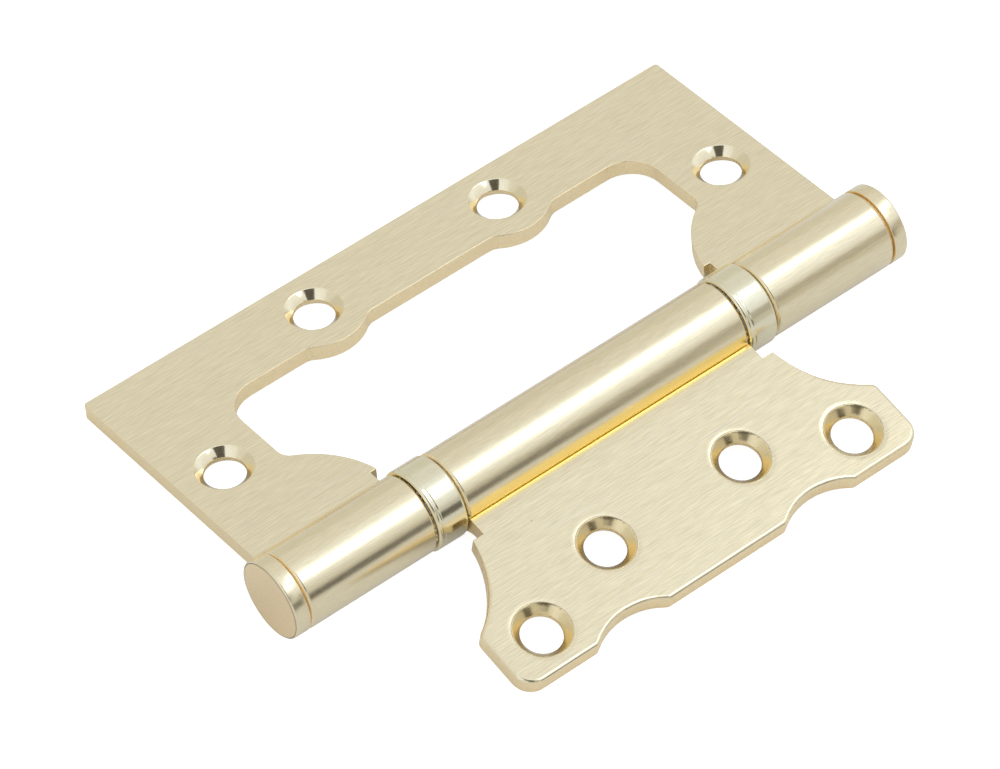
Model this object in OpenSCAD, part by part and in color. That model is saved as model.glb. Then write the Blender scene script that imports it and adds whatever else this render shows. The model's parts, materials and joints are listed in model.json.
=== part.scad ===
// Ball-bearing butterfly butt hinge: the smaller leaf nests in the larger leaf's window.
// X runs along the barrel, +Y points to the larger leaf, +Z is up. The hinge lies open on
// its back, touching the surface with both free edges and with its two bearing shells.

/* [Leaves] */
// Length of the larger leaf along the barrel
hinge_len = 100; // [96:0.5:110]
// Thickness of the plate that both leaves are punched from
leaf_t = 2.5; // [2.2:0.1:3]
// Pin axis to the free edge of the larger leaf
outer_leaf_w = 44.7; // [42:0.1:50]
// Radius of the larger leaf's outer corners
leaf_corner_r = 0.5; // [0.3:0.1:3]

/* [Window and nesting] */
// Width of the rails at the two ends of the window
rail_w = 14; // [12:0.1:16]
// Width of the strip between the window and the free edge
rim_w = 12; // [11:0.1:13]
// Radius of the window's two far corners
window_corner_r = 4.9; // [3:0.1:6]
// How far the round bosses at the middle screw holes rise into the window
boss_rise = 2; // [1:0.1:3]
// Straight length of the window's ends, between the corners and the shoulders
side_straight = 9.2; // [6:0.1:11]
// Radius of the shoulders that narrow the window towards the barrel
shoulder_r = 14.6; // [13:0.1:16]
// How far each shoulder reaches past the end of its knuckle
shoulder_over = 1.4; // [0.5:0.1:2]
// Gap along the leaf between the bearing shells and both leaves' shoulders
neck_gap = 2.45; // [1.5:0.05:4]
// Clearance between the nested leaf and the window at its edge and its curves
nest_gap = 2.4; // [1:0.1:3]
// Clearance between the nested leaf and the window at its two ends
nest_end_gap = 2; // [1:0.1:3]
// Radius that softens the window's inner corners
window_blend_r = 2.2; // [0.5:0.1:2.5]
// Radius that softens the smaller leaf's corners
inner_blend_r = 1.2; // [0.5:0.1:2]

/* [Screw holes] */
// Diameter of the screw holes at their narrowest
screw_hole_d = 5.8; // [4.5:0.1:6]
// Diameter of the countersinks at the leaf's face
countersink_d = 8.2; // [7:0.1:8.6]
// Height of the flared break-out at the back of each punched hole
breakout_h = 0.8; // [0.3:0.1:1]
// How much the break-out widens the hole's radius
breakout_flare = 0.7; // [0.2:0.1:0.9]
// Larger leaf, end holes: distance in from the free edge
outer_end_setback = 22.3; // [18:0.1:25]
// Larger leaf, middle holes: pitch along the barrel
outer_mid_pitch = 32; // [30:0.5:36]
// Larger leaf, middle holes: distance in from the free edge
outer_mid_setback = 6.5; // [5.8:0.1:7.2]
// Smaller leaf, corner holes: distance in from each end of the leaf
inner_end_inset = 7.3; // [6:0.1:9]
// Smaller leaf, corner holes: distance in from the free edge
inner_end_setback = 6; // [5.6:0.1:7]
// Smaller leaf, holes near the barrel: pitch along the barrel
inner_mid_pitch = 23.2; // [20:0.1:28]
// Smaller leaf, holes near the barrel: distance in from the free edge
inner_mid_setback = 11.4; // [9:0.1:13]

/* [Barrel] */
// Diameter of the hinge pin
pin_d = 6.5; // [6:0.1:7]
// Radial running clearance of the pin in the knuckles and the races
pin_clear = 0.05; // [0.02:0.01:0.08]
// Length of each of the larger leaf's two knuckles, at the ends of the barrel
outer_knuckle_len = 20.7; // [19:0.1:23]
// Space for a bearing between two knuckles
bearing_w = 5.3; // [5:0.1:6]
// Chamfer on the knuckles' ends
knuckle_chamfer = 0.3; // [0.1:0.05:0.4]
// Gap left where the rolled strip's end meets the leaf's face
seam_gap = 0.2; // [0.1:0.05:0.4]
// Radius of the bend that joins the leaf's back to the roll
root_fillet_r = 3; // [1.5:0.1:4]

/* [End caps] */
// Thickness of a cap's head
cap_t = 2.25; // [1.5:0.05:4]
// Width of the groove between a cap's head and the knuckle
cap_groove_w = 0.25; // [0.15:0.05:0.5]
// Depth of that groove
cap_groove_depth = 0.6; // [0.3:0.1:1]
// Chamfer round a cap's outer face
cap_chamfer = 0.2; // [0.1:0.05:0.6]
// Length of the spigot that a cap drives into the knuckle
spigot_len = 4; // [3:0.1:6]
// Radial clearance of the spigot in the knuckle
spigot_clear = 0.02; // [0.01:0.01:0.05]
// End play between the spigots and the pin
pin_end_play = 0.3; // [0.1:0.05:0.6]
// Chamfer on the pin's ends and the spigots' tips
pin_chamfer = 0.4; // [0.2:0.05:0.8]

/* [Bearings] */
// How far a bearing shell stands proud of the knuckles
shell_proud = 0.25; // [0.1:0.05:0.4]
// Wall of a bearing shell
shell_wall = 0.5; // [0.4:0.05:0.6]
// Thickness of the lip crimped over the loose race
lip_t = 0.4; // [0.3:0.05:0.5]
// How far the crimped lip reaches in from the shell's wall
lip_reach = 0.55; // [0.4:0.05:0.6]
// Radius of the bead that the crimping leaves round the lip
bead_r = 0.4; // [0.3:0.05:0.5]
// Depth of the crease behind the bead
crease_depth = 0.06; // [0.02:0.01:0.1]
// Radius of the crease's hollow
crease_r = 0.6; // [0.4:0.1:1]
// Radius that the drawn shell is rounded by at its closed end
shell_end_r = 0.45; // [0.3:0.05:0.5]
// Gap between the crimped end and the knuckle beside it
crimp_gap = 0.2; // [0.15:0.05:0.3]
// Gap between the closed end and the knuckle that its race bears on
closed_gap = 0.3; // [0.2:0.05:0.4]
// Gap between bearing pieces that turn against each other inside the shell
run_gap = 0.3; // [0.2:0.05:0.35]
// Gap between the two races, where the balls show
race_gap = 1; // [0.8:0.05:1.1]
// Radial clearance of the seated race in the shell
seat_clear = 0.05; // [0.02:0.01:0.1]
// Diameter of the bearing balls
ball_d = 1.6; // [1.5:0.05:1.65]
// Clearance of a ball in its groove
ball_clear = 0.03; // [0.02:0.01:0.05]
// Number of balls in a bearing
ball_count = 12; // [8:1:13]

/* [Hidden] */
$fn = 96;

// Overrun of every cut past the face it opens
cut_over = 0.5;
// Steps in each arc of an outline
arc_steps = 10;

pin_r = pin_d / 2;
bore_r = pin_r + pin_clear;
knuckle_r = bore_r + leaf_t;
shell_r = knuckle_r + shell_proud;
shell_bore_r = shell_r - shell_wall;
lip_r = shell_bore_r - lip_reach;
ball_pitch_r = (pin_r + shell_bore_r) / 2;
ball_plane = bearing_w / 2;
shell_end = bearing_w - closed_gap;

knuckle_start = hinge_len / 2 - outer_knuckle_len;
inner_knuckle_len = 2 * (knuckle_start - bearing_w);
pin_len = hinge_len - 2 * (spigot_len + pin_end_play);

window_far = outer_leaf_w - rim_w;
window_side = hinge_len / 2 - rail_w;
inner_leaf_w = window_far - nest_gap;
inner_side = window_side - nest_end_gap;
neck_s = shell_r + neck_gap;
shoulder_x = knuckle_start - shoulder_over + shoulder_r;
shoulder_s = window_far - window_corner_r - side_straight
    - sqrt(pow(shoulder_r, 2) - pow(shoulder_x - window_side, 2));
boss_s = outer_leaf_w - outer_mid_setback;
boss_r = boss_s - window_far + boss_rise;
root_reach = sqrt(pow(knuckle_r + root_fillet_r, 2) - pow(leaf_t / 2 + root_fillet_r, 2));
plate_start = (knuckle_r + root_reach) / 2;
countersink_depth = (countersink_d - screw_hole_d) / 2;

// Each leaf tilts until the corner below its free edge is level with the shells' undersides
function droop(leaf_w) = asin(shell_r / norm([leaf_w, leaf_t / 2])) - atan(leaf_t / 2 / leaf_w);
outer_droop = droop(outer_leaf_w);
inner_droop = droop(inner_leaf_w);
// Farthest reach of a drooping leaf from the pin axis, measured level
function reach(leaf_w, tilt) = leaf_w * cos(tilt) + leaf_t / 2 * sin(tilt);
pin_y = (reach(inner_leaf_w, inner_droop) - reach(outer_leaf_w, outer_droop)) / 2;

function arc(centre, r, from, to) = [for (i = [0:arc_steps])
    let (a = from + (to - from) * i / arc_steps) centre + r * [cos(a), sin(a)]];
function mirrored(points) = [for (i = [len(points) - 1:-1:0]) [-points[i][0], points[i][1]]];

// Right half of the nesting outline, from the middle of its far edge round to its neck.
// The window has no gap; the smaller leaf is the same outline drawn inside it by the gaps.
function nest_half(gap, end_gap, blend_r) = let (
    far = window_far - gap,
    side = window_side - end_gap,
    boss = [outer_mid_pitch / 2, boss_s],
    br = boss_r + gap,
    boss_dx = sqrt(pow(br + blend_r, 2) - pow(boss_s - far + blend_r, 2)),
    boss_a = atan2(boss_s - far + blend_r, boss_dx),
    corner_r = window_corner_r - end_gap,
    shoulder = [shoulder_x, shoulder_s],
    sr = shoulder_r + gap,
    side_dx = shoulder_x - side + blend_r,
    side_dy = sqrt(pow(sr + blend_r, 2) - pow(side_dx, 2)),
    side_a = atan2(side_dy, side_dx))
    concat(
        arc([boss[0] - boss_dx, far - blend_r], blend_r, 90, boss_a),
        arc(boss, br, 180 + boss_a, 360 - boss_a),
        arc([boss[0] + boss_dx, far - blend_r], blend_r, 180 - boss_a, 90),
        arc([side - corner_r, far - corner_r], corner_r, 90, 0),
        arc([side - blend_r, shoulder_s + side_dy], blend_r, 0, -side_a),
        arc(shoulder, sr, 180 - side_a, 180 - asin((neck_s - shoulder_s) / sr)));

// The whole outline, with a straight neck of the given half width down to a level
module nest_outline(gap, end_gap, blend_r, neck_half, neck_foot) {
    half = concat(nest_half(gap, end_gap, blend_r),
        [[neck_half, neck_s], [neck_half, neck_foot]]);
    polygon(concat(half, mirrored(half)));
}

// Plan of the larger leaf without its window
module outer_outline() {
    half = concat(
        arc([hinge_len / 2 - leaf_corner_r, outer_leaf_w - leaf_corner_r], leaf_corner_r, 90, 0),
        [[hinge_len / 2, plate_start]]);
    polygon(concat(half, mirrored(half)));
}

// A frame with X along the pin axis, Y out along a leaf and Z out of its countersunk face
module at_pin() translate([0, pin_y, shell_r]) children();
module on_outer_leaf() at_pin() rotate([-outer_droop, 0, 0]) children();
module on_inner_leaf() at_pin() rotate([inner_droop, 0, 0]) mirror([0, 1, 0]) children();

// Turns a solid of revolution from the Z axis to the X axis
module along_x() rotate([0, 90, 0]) children();

module plate() translate([0, 0, -leaf_t / 2]) linear_extrude(leaf_t) children();

// A punched and countersunk screw hole, as a cutter through a plate at the origin
module screw_hole() {
    hole_r = screw_hole_d / 2;
    sink_h = countersink_depth + cut_over;
    flare_h = breakout_h + cut_over;
    translate([0, 0, -leaf_t / 2 - cut_over])
        cylinder(h = leaf_t + 2 * cut_over, r = hole_r);
    translate([0, 0, leaf_t / 2 - countersink_depth])
        cylinder(h = sink_h, r1 = hole_r, r2 = hole_r + sink_h);
    translate([0, 0, -leaf_t / 2 - cut_over])
        cylinder(h = flare_h, r1 = hole_r + breakout_flare * flare_h / breakout_h, r2 = hole_r);
}

module screw_hole_pair(pitch, s)
    for (side = [-1, 1]) translate([side * pitch / 2, s, 0]) screw_hole();

// A knuckle rolled from the leaf's strip, from x = 0 to x = length. The strip leaves the
// leaf through a bend at the back and ends against the countersunk face, at a seam.
module knuckle(length) {
    difference() {
        union() {
            along_x() rotate_extrude() polygon([
                [bore_r, 0],
                [knuckle_r - knuckle_chamfer, 0],
                [knuckle_r, knuckle_chamfer],
                [knuckle_r, length - knuckle_chamfer],
                [knuckle_r - knuckle_chamfer, length],
                [bore_r, length]]);
            difference() {
                rotate([90, 0, 90]) linear_extrude(length) polygon([
                    [0, leaf_t / 2],
                    [root_reach, leaf_t / 2],
                    [root_reach, -leaf_t / 2 - root_fillet_r],
                    [0, 0]]);
                translate([-cut_over, root_reach, -leaf_t / 2 - root_fillet_r])
                    along_x() cylinder(h = length + 2 * cut_over, r = root_fillet_r);
            }
        }
        translate([-cut_over, 0, 0]) along_x() cylinder(h = length + 2 * cut_over, r = bore_r);
        translate([-cut_over, 0, leaf_t / 2])
            cube([length + 2 * cut_over, knuckle_r + cut_over, seam_gap]);
    }
}

module outer_leaf() {
    color([0.84, 0.80, 0.67]) on_outer_leaf() {
        difference() {
            plate() difference() {
                outer_outline();
                nest_outline(0, 0, window_blend_r, knuckle_start, 0);
            }
            screw_hole_pair(hinge_len - rail_w, outer_leaf_w - outer_end_setback);
            screw_hole_pair(outer_mid_pitch, boss_s);
        }
        translate([-hinge_len / 2, 0, 0]) knuckle(outer_knuckle_len);
        translate([knuckle_start, 0, 0]) knuckle(outer_knuckle_len);
    }
}

module inner_leaf() {
    color([0.89, 0.86, 0.76]) on_inner_leaf() {
        difference() {
            plate() nest_outline(nest_gap, nest_end_gap, inner_blend_r,
                inner_knuckle_len / 2, plate_start);
            screw_hole_pair(2 * (inner_side - inner_end_inset), inner_leaf_w - inner_end_setback);
            screw_hole_pair(inner_mid_pitch, inner_leaf_w - inner_mid_setback);
        }
        translate([-inner_knuckle_len / 2, 0, 0]) knuckle(inner_knuckle_len);
    }
}

module hinge_pin() {
    color([0.62, 0.62, 0.62]) at_pin() translate([-pin_len / 2, 0, 0]) along_x()
        rotate_extrude() polygon([
            [0, 0],
            [pin_r - pin_chamfer, 0],
            [pin_r, pin_chamfer],
            [pin_r, pin_len - pin_chamfer],
            [pin_r - pin_chamfer, pin_len],
            [0, pin_len]]);
}

// A turned cap with its spigot towards -X, seated on a knuckle's end at x = 0
module end_cap() {
    spigot_r = bore_r - spigot_clear;
    head_end = cap_groove_w + cap_t;
    color([0.80, 0.75, 0.62]) along_x() rotate_extrude() polygon([
        [0, -spigot_len],
        [spigot_r - pin_chamfer, -spigot_len],
        [spigot_r, pin_chamfer - spigot_len],
        [spigot_r, 0],
        [knuckle_r - cap_groove_depth, 0],
        [knuckle_r - cap_groove_depth, cap_groove_w],
        [knuckle_r, cap_groove_w],
        [knuckle_r, head_end - cap_chamfer],
        [knuckle_r - cap_chamfer, head_end],
        [0, head_end]]);
}

module left_end_cap() at_pin() translate([-hinge_len / 2, 0, 0]) mirror([1, 0, 0]) end_cap();
module right_end_cap() at_pin() translate([hinge_len / 2, 0, 0]) end_cap();

// Both bearings face the same way: x = 0 is the crimped end, x = bearing_w the closed end
module at_left_bearing() at_pin() translate([-knuckle_start, 0, 0]) children();
module at_right_bearing() at_pin() translate([inner_knuckle_len / 2, 0, 0]) children();

// The thin drawn shell, closed behind the seated race and crimped over the loose one
module bearing_shell() {
    bead_x = crimp_gap + bead_r;
    end_r_x = shell_end - shell_end_r;
    color([0.84, 0.84, 0.76]) along_x() rotate_extrude() difference() {
        union() {
            translate([lip_r, bead_x]) square([shell_r - lip_r, end_r_x - bead_x]);
            translate([lip_r, crimp_gap]) square([shell_r - bead_r - lip_r, bead_r]);
            translate([shell_r - bead_r, bead_x]) circle(bead_r);
            translate([lip_r, end_r_x]) square([shell_r - shell_end_r - lip_r, shell_end_r]);
            translate([shell_r - shell_end_r, end_r_x]) circle(shell_end_r);
        }
        translate([lip_r - cut_over, crimp_gap + lip_t])
            square([lip_reach + cut_over, shell_end - shell_wall - crimp_gap - lip_t]);
        translate([shell_r + crease_r - crease_depth, bead_x + bead_r]) circle(crease_r);
    }
}

// The groove that the balls run in, as a cutter
module ball_groove() translate([ball_plane, 0, 0]) along_x() rotate_extrude()
    translate([ball_pitch_r, 0]) circle(ball_d / 2 + ball_clear);

// The race against the shell's closed end, standing out through it on a narrower neck
module seated_race() {
    race_start = ball_plane + race_gap / 2;
    neck_start = shell_end - shell_wall;
    color([0.60, 0.61, 0.63]) difference() {
        along_x() rotate_extrude() polygon([
            [bore_r, race_start],
            [shell_bore_r - seat_clear, race_start],
            [shell_bore_r - seat_clear, neck_start],
            [lip_r - seat_clear, neck_start],
            [lip_r - seat_clear, bearing_w],
            [bore_r, bearing_w]]);
        ball_groove();
    }
}

// The race that the crimped lip holds in, standing out of the shell on a narrower neck
module loose_race() {
    neck_len = crimp_gap + lip_t + run_gap;
    race_end = ball_plane - race_gap / 2;
    color([0.60, 0.61, 0.63]) difference() {
        along_x() rotate_extrude() polygon([
            [bore_r, 0],
            [lip_r - run_gap, 0],
            [lip_r - run_gap, neck_len],
            [shell_bore_r - run_gap, neck_len],
            [shell_bore_r - run_gap, race_end],
            [bore_r, race_end]]);
        ball_groove();
    }
}

module bearing_balls() color([0.75, 0.76, 0.78])
    for (i = [0:ball_count - 1]) rotate([i * 360 / ball_count, 0, 0])
        translate([ball_plane, 0, ball_pitch_r]) sphere(ball_d / 2);

module left_bearing_shell() at_left_bearing() bearing_shell();
module left_seated_race() at_left_bearing() seated_race();
module left_loose_race() at_left_bearing() loose_race();
module left_balls() at_left_bearing() bearing_balls();
module right_bearing_shell() at_right_bearing() bearing_shell();
module right_seated_race() at_right_bearing() seated_race();
module right_loose_race() at_right_bearing() loose_race();
module right_balls() at_right_bearing() bearing_balls();

outer_leaf();
inner_leaf();
hinge_pin();
left_end_cap();
right_end_cap();
left_bearing_shell();
left_seated_race();
left_loose_race();
left_balls();
right_bearing_shell();
right_seated_race();
right_loose_race();
right_balls();
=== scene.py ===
"""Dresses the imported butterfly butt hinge: rounded punched edges, sunken rings round the
smaller leaf's countersinks, a hollow where its knuckle's strip ends, brushed and turned
plating, and a plain pale studio. Lengths are in metres."""

import json
import math

import bmesh
import bpy
from bpy.props import FloatProperty, FloatVectorProperty, PointerProperty
from bpy.types import Operator, Panel, PropertyGroup
from mathutils import Matrix, Vector


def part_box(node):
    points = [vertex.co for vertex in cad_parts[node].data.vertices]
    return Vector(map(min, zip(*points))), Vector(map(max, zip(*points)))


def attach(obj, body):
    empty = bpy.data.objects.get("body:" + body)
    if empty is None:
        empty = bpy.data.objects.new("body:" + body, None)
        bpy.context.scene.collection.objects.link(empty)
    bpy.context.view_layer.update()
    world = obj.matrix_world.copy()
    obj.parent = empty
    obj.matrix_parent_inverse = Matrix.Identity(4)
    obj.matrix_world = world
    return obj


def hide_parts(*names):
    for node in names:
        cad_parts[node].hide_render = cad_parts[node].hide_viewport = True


bl_info = {
    "name": "Butterfly Hinge Dressing",
    "version": (1, 0, 0),
    "blender": (4, 5, 0),
    "location": "View3D > Sidebar > Hinge",
    "description": "Gives the packed butterfly hinge its punched edges, plating and studio",
    "category": "Object",
}

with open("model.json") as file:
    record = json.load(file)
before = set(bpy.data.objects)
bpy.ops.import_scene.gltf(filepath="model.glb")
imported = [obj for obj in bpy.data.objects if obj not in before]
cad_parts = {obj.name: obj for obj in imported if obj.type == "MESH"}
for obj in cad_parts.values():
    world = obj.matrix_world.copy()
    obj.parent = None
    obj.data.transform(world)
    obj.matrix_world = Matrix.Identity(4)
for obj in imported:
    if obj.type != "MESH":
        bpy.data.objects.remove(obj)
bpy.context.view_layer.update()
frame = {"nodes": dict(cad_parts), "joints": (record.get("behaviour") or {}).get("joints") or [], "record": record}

MM = 0.001
MOUNTS = {mount["name"]: mount for mount in frame["record"]["mounts"]}
SWING = next(joint for joint in frame["joints"] if joint["name"] == "leaf_swing")
PIN = Vector(SWING["pos_m"])
KNUCKLE_R = (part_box("left_end_cap")[1].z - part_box("left_end_cap")[0].z) / 2
ALONG = Vector((1, 0, 0))

# Farther than this from the pin, a leaf is plain plate
PLATE_REACH = 2 * KNUCKLE_R


class Leaf:
    """Where one leaf lies: its normal, its direction away from the pin and its screw holes."""

    def __init__(self, label, node, body, hole_mounts, side):
        self.label = label
        self.node = node
        self.body = body
        self.up = Vector(MOUNTS[hole_mounts[0]]["axis"])
        self.out = side * self.up.cross(ALONG)
        self.half_t = max(
            (vertex.co - PIN).dot(self.up)
            for vertex in frame["nodes"][node].data.vertices
            if (vertex.co - PIN).dot(self.out) > PLATE_REACH
        )
        self.holes = [
            self.on_face(Vector(MOUNTS[name]["pos_m"])
                         + end * ALONG * MOUNTS[name]["dims"]["pcd_mm"] * MM / 2)
            for name in hole_mounts for end in (-1, 1)
        ]

    def height(self, point):
        """Height of a point above the leaf's middle plane."""
        return (point - PIN).dot(self.up)

    def reach(self, point):
        """Distance of a point from the pin, measured along the leaf."""
        return (point - PIN).dot(self.out)

    def seam(self):
        """How far from the pin the leaf's face meets the round of its knuckles."""
        return math.sqrt(KNUCKLE_R ** 2 - self.half_t ** 2)

    def on_face(self, point):
        """The point moved square to the leaf, on to its countersunk face."""
        return point + self.up * (self.half_t - self.height(point))

    def hole_distance(self, point):
        """Distance of a point from the axis of the nearest screw hole."""
        return min((self.on_face(point) - hole).length for hole in self.holes)


LARGER = Leaf("larger", "outer_leaf", "larger_leaf",
              ("larger_leaf_end_holes", "larger_leaf_middle_holes"), 1)
SMALLER = Leaf("smaller", "inner_leaf", "smaller_leaf",
               ("smaller_leaf_corner_holes", "smaller_leaf_inner_holes"), -1)


class HingeSizes(PropertyGroup):
    """Small forms that the press and the lathe leave on the parts."""

    edge_round: FloatProperty(
        name="Edge rounding", description="Radius on the larger leaf's punched edges",
        default=0.12 * MM, min=0, unit="LENGTH", precision=5)
    roll_over: FloatProperty(
        name="Roll-over", description="Radius on the smaller leaf's upper outline",
        default=0.55 * MM, min=0, unit="LENGTH", precision=5)
    turned_round: FloatProperty(
        name="Turned rounding", description="Radius on the corners of caps and shells",
        default=0.08 * MM, min=0, unit="LENGTH", precision=5)
    rim_r: FloatProperty(
        name="Countersink radius", description="Radius of a countersink at the leaf's face",
        default=4.1 * MM, min=0, unit="LENGTH", precision=5)
    sink_w: FloatProperty(
        name="Sink width", description="Width of the sunken ring round a countersink",
        default=0.75 * MM, min=0, unit="LENGTH", precision=5)
    sink_depth: FloatProperty(
        name="Sink depth", description="Depth of the sunken ring at the countersink",
        default=0.05 * MM, min=0, unit="LENGTH", precision=5)
    root_w: FloatProperty(
        name="Root width", description="Width of the hollow where a leaf meets its knuckle",
        default=2.4 * MM, min=0, unit="LENGTH", precision=5)
    root_depth: FloatProperty(
        name="Root depth", description="Depth of the hollow at the rolled strip's end",
        default=0.09 * MM, min=0, unit="LENGTH", precision=5)
    strip_round: FloatProperty(
        name="Strip rounding", description="Radius on the end of the rolled strip",
        default=0.2 * MM, min=0, unit="LENGTH", precision=5)


class HingeFinish(PropertyGroup):
    """Colours and gloss of the plating and the steel."""

    plating: FloatVectorProperty(
        name="Plating", description="Pale gold of the plating", subtype="COLOR",
        size=3, min=0, max=1, default=(0.815, 0.695, 0.445))
    # Painted reflection: bright gold painted where the smaller leaf meets its knuckle, in place of the gold light
    # that the barrel and the leaf mirror into each other.
    bright_plating: FloatVectorProperty(
        name="Bright plating", description="Gold of the corners that the brush can't reach",
        subtype="COLOR", size=3, min=0, max=1, default=(0.93, 0.74, 0.30))
    # Painted shade: a deeper, more saturated gold painted in the smaller leaf's countersinks, in place of the
    # light bouncing inside the recess.
    turned_plating: FloatVectorProperty(
        name="Countersink plating", description="Deeper gold of the turned countersinks",
        subtype="COLOR", size=3, min=0, max=1, default=(0.75, 0.60, 0.32))
    wall_plating: FloatVectorProperty(
        name="Wall plating", description="Warmer gold of the punched walls",
        subtype="COLOR", size=3, min=0, max=1, default=(0.93, 0.75, 0.44))
    # Painted shade and reflection: browner gold painted in the corner behind the larger leaf's knuckles, where the
    # knuckles mirror the leaf and shade falls.
    dull_plating: FloatVectorProperty(
        name="Dull plating", description="Browner gold behind the larger leaf's knuckles",
        subtype="COLOR", size=3, min=0, max=1, default=(0.66, 0.47, 0.22))
    cap_plating: FloatVectorProperty(
        name="Cap plating", description="Matt gold of the end caps",
        subtype="COLOR", size=3, min=0, max=1, default=(0.88, 0.69, 0.40))
    pale_plating: FloatVectorProperty(
        name="Shell plating", description="Greener pale gold of the bearing shells",
        subtype="COLOR", size=3, min=0, max=1, default=(0.80, 0.72, 0.49))
    steel: FloatVectorProperty(
        name="Steel", description="Bare steel of the pin, the races and the balls",
        subtype="COLOR", size=3, min=0, max=1, default=(0.56, 0.56, 0.57))
    leaf_roughness: FloatProperty(
        name="Leaf roughness", description="Roughness of the brushed faces",
        default=0.22, min=0, max=1, subtype="FACTOR")
    roll_roughness: FloatProperty(
        name="Knuckle roughness", description="Roughness of the rolled knuckles",
        default=0.22, min=0, max=1, subtype="FACTOR")
    turned_roughness: FloatProperty(
        name="Countersink roughness", description="Roughness of the countersinks",
        default=0.20, min=0, max=1, subtype="FACTOR")
    shell_roughness: FloatProperty(
        name="Shell roughness", description="Roughness of the bearing shells",
        default=0.17, min=0, max=1, subtype="FACTOR")


class HingeStudio(PropertyGroup):
    """Light, surroundings and camera."""

    softbox_tint: FloatVectorProperty(
        name="Softbox tint", description="Cool white of the softbox",
        subtype="COLOR", size=3, min=0, max=1, default=(0.78, 0.88, 1.0))
    surround: FloatProperty(
        name="Surroundings", description="Strength of the white room round the hinge",
        default=1.0, min=0, subtype="FACTOR", soft_max=2)
    softbox: FloatProperty(
        name="Softbox", description="Brightness of the strip softboxes, where 1 is white",
        default=2.3, min=0, soft_max=10)
    floor_glow: FloatProperty(
        name="Floor glow", description="Light that keeps the floor white to the camera",
        default=0.85, min=0, soft_max=1)
    floor_shine: FloatProperty(
        name="Floor shine", description="Light that the metal sees in the floor",
        default=0.18, min=0, soft_max=1)
    inner_glow: FloatProperty(
        name="Inner glow", description="Brightness of the room in corners that mirror metal",
        default=1.2, min=0, soft_max=3)
    lens: FloatProperty(
        name="Lens", description="Focal length on a 36 mm sensor, in millimetres",
        default=204.9, min=1, soft_max=400)


def sizes():
    """The small forms' sizes, as the user has set them."""
    return bpy.context.scene.hinge_sizes


def finish():
    """The colours and the gloss, as the user has set them."""
    return bpy.context.scene.hinge_finish


def studio():
    """The light and the lens, as the user has set them."""
    return bpy.context.scene.hinge_studio


class Tree:
    """A short way to lay out nodes and links in one node tree."""

    def __init__(self, tree):
        self.tree = tree

    def add(self, kind, settings=None, **inputs):
        """Adds a node, sets its properties and fills or links its inputs by name."""
        node = self.tree.nodes.new(kind)
        for name, value in (settings or {}).items():
            setattr(node, name, value)
        for name, value in inputs.items():
            self.feed(node, name, value)
        return node

    def feed(self, node, name, value):
        """Fills or links one input, given by its name or, as in_0, by its place."""
        if name.startswith("in_"):
            socket = node.inputs[int(name[3:])]
        else:
            socket = node.inputs[name.replace("_", " ")]
        if isinstance(value, bpy.types.NodeSocket):
            self.tree.links.new(value, socket)
        else:
            socket.default_value = value

    def math(self, operation, *values):
        """Adds one sum and gives its result."""
        inputs = {f"in_{place}": value for place, value in enumerate(values)}
        return self.add("ShaderNodeMath", {"operation": operation}, **inputs).outputs[0]


def ramp(node, stops, interpolation="EASE"):
    """Sets a colour ramp's stops, each a place from 0 to 1 and a colour."""
    band = node.color_ramp
    band.interpolation = interpolation
    while len(band.elements) > 1:
        band.elements.remove(band.elements[-1])
    for number, (place, colour) in enumerate(stops):
        stop = band.elements[0] if number == 0 else band.elements.new(place)
        stop.position = place
        stop.color = (*colour, 1)
    return node.outputs["Color"]


def shade(colour, factor):
    """A colour made darker or lighter, and never brighter than white."""
    return tuple(min(1.0, channel * factor) for channel in colour)


# The grain is fine streaks and a small share of broad ones, given by how much larger
# they are. Nearly all of its noise lies between LOW and HIGH, and it changes the
# roughness by GLOSS_SPREAD at most.
FINE_SHARE = 0.88
BROAD_LENGTH = 5
BROAD_WIDTH = 3
NOISE_ROUGHNESS = 0.6
LOW = 0.3
HIGH = 0.7
GLOSS_SPREAD = 0.1

# Scratches are far longer than the streaks, and show where their noise is high
SCRATCH_LENGTH = 8
SCRATCH_WIDTH = 0.8
SCRATCH_STARTS = 0.60
SCRATCH_FULL = 0.72
SCRATCH_COLOUR = (0.95, 0.93, 0.85, 1)

# One dark speck at most lies in each cell of this size
PIT_CELL = 1.6 * MM
PIT_R = 0.09 * MM
PIT_SHADE = 0.35


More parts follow.
